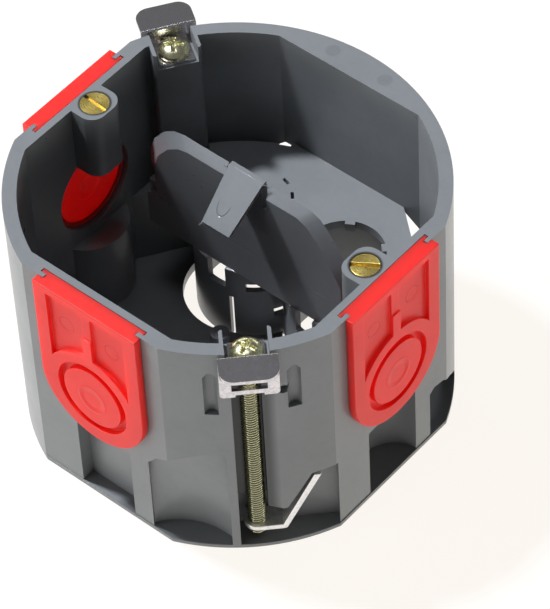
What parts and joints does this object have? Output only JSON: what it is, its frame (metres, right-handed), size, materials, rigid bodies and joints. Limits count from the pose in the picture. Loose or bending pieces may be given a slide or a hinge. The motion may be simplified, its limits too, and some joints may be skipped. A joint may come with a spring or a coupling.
{
  "type": "drywall back box",
  "caption": "Round back box for hollow walls with entry seals, conduit tray, divider and screw clamps.",
  "frame": {"origin": "centre of the base", "axes": "+Z from the base up to the open rim; the +X, -X and -Y sides are flat and carry the entry seals; +Y is the round side"},
  "size_m": [0.0751, 0.0747, 0.0516],
  "materials": {
    "grey_plastic": "satin moulded",
    "red_seal": "satin moulded",
    "brass_screw": "bright",
    "yellow_zinc": "yellow zinc plated",
    "sheet_steel": "bright zinc plated"
  },
  "bodies": {
    "box": {"box_body": "grey_plastic", "conduit_tray": "grey_plastic", "divider": "grey_plastic", "entry_seal_lower_left": "red_seal", "entry_seal_lower_right": "red_seal", "entry_seal_upper_left": "red_seal", "clamp_clip_front": "sheet_steel", "clamp_clip_back": "sheet_steel"},
    "left_device_screw": {"device_screw_left": "brass_screw"},
    "right_device_screw": {"device_screw_right": "brass_screw"},
    "front_clamp_screw": {"clamp_screw_front": "yellow_zinc"},
    "back_clamp_screw": {"clamp_screw_back": "yellow_zinc"},
    "front_claw": {"clamp_claw_front": "sheet_steel"},
    "back_claw": {"clamp_claw_back": "sheet_steel"}
  },
  "joints": [
    {"name": "device_screw_left_turn", "type": "hinge", "parent": "box", "child": "left_device_screw", "pos_m": [-0.03, 0, 0.045], "axis": [0, 0, 1], "continuous": true},
    {"name": "device_screw_right_turn", "type": "hinge", "parent": "box", "child": "right_device_screw", "pos_m": [0.03, 0, 0.045], "axis": [0, 0, 1], "continuous": true},
    {"name": "clamp_screw_front_turn", "type": "hinge", "parent": "box", "child": "front_clamp_screw", "pos_m": [0.02528, -0.02493, 0.03], "axis": [0, 0, 1], "continuous": true},
    {"name": "clamp_screw_back_turn", "type": "hinge", "parent": "box", "child": "back_clamp_screw", "pos_m": [-0.02943, 0.01985, 0.03], "axis": [0, 0, 1], "continuous": true},
    {"name": "claw_front_swing", "type": "hinge", "parent": "box", "child": "front_claw", "pos_m": [0.02528, -0.02493, 0.0045], "axis": [0, 0, -1], "range_deg": [0, 90]},
    {"name": "claw_back_swing", "type": "hinge", "parent": "box", "child": "back_claw", "pos_m": [-0.02943, 0.01985, 0.0045], "axis": [0, 0, -1], "range_deg": [0, 90]}
  ]
}
